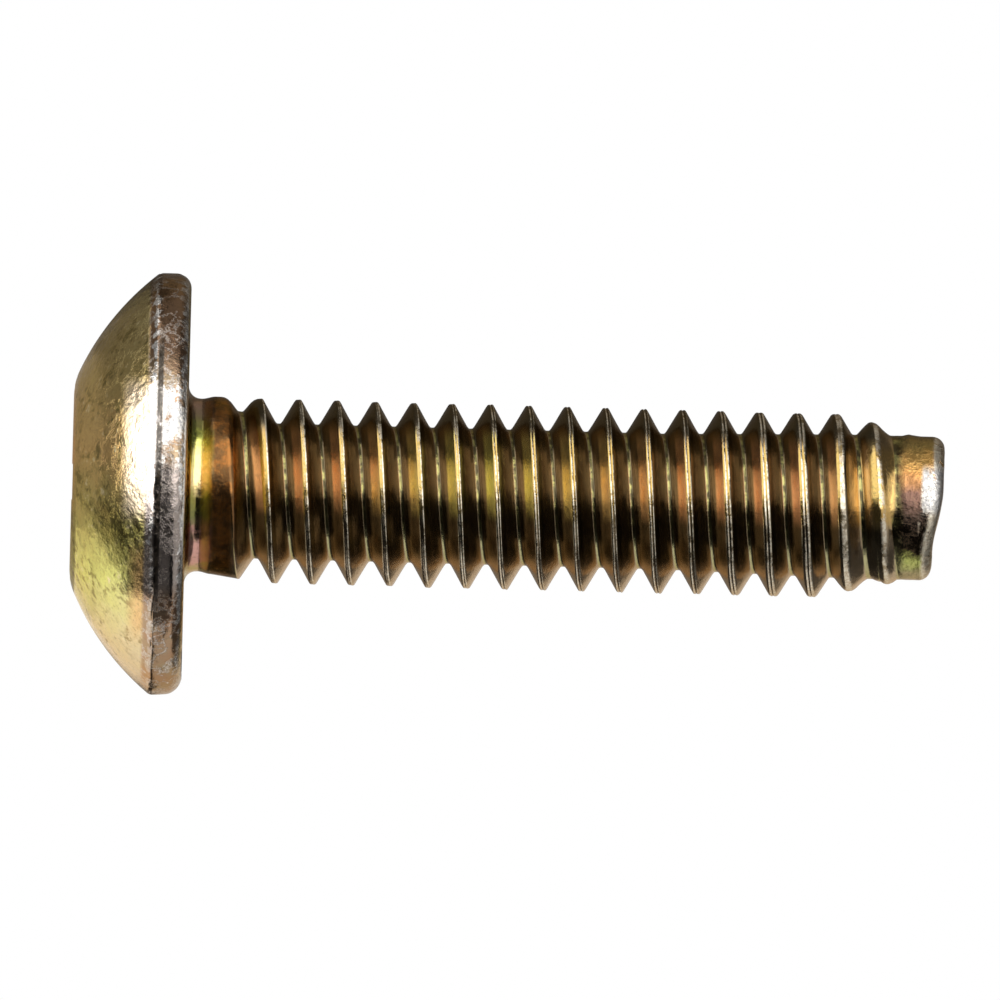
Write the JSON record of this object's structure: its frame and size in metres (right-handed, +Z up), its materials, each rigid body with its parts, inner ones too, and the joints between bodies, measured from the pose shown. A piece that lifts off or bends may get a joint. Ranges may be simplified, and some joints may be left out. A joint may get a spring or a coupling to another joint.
{
  "type": "machine screw",
  "caption": "Truss-head machine screw in yellow-passivated zinc-plated steel: broad domed head with a tall rim and cross recess, short plain neck, coarse rolled thread and blunt sheared point.",
  "frame": {"origin": "middle of the flat of the crown, on the head's axis; the screw stands on its head there, and its shank lies 0.14 mm off that axis towards +X", "axes": "+Z up the shank, from the crown to the point; X and Y across it, with the low side of the sheared point towards +X"},
  "size_m": [0.014, 0.014, 0.0289],
  "materials": {
    "yellow_zinc": "zinc plate with iridescent yellow passivation, worn bright on crests and edges"
  },
  "bodies": {
    "root": {"screw": "yellow_zinc"}
  },
  "joints": []
}
